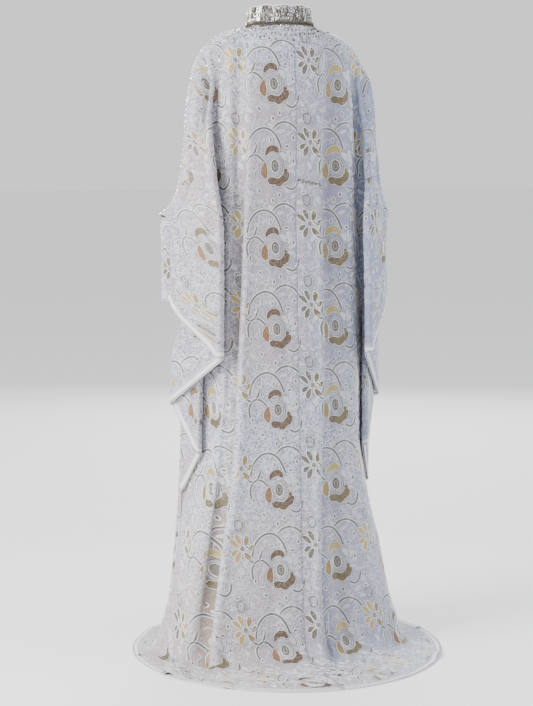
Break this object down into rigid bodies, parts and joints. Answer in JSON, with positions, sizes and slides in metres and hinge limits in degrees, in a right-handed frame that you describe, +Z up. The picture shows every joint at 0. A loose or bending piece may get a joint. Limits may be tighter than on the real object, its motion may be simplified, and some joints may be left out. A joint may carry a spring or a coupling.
{
  "type": "worn floor-length kaftan",
  "caption": "Hollow, worn floor-length kaftan with folded side cascades, deep cuffs, a beaded stand collar and a hem that lies on the floor.",
  "frame": {"origin": "middle of the neck's base, where the collar stands and the wearer's shoulders carry the garment", "axes": "+Z up the body, -Y to the wearer's front, +X to the wearer's left, floor at Z -1.6"},
  "size_m": [0.8039, 0.818, 1.6508],
  "materials": {
    "cloth": "ivory embroidered brocade with a soft sheen",
    "beading": "cloth covered with silver and crystal beads"
  },
  "bodies": {
    "root": {"back_left": "cloth", "back_right": "cloth", "front_left": "cloth", "front_right": "cloth", "cuff_left": "cloth", "cuff_right": "cloth", "collar": "beading"}
  },
  "joints": []
}
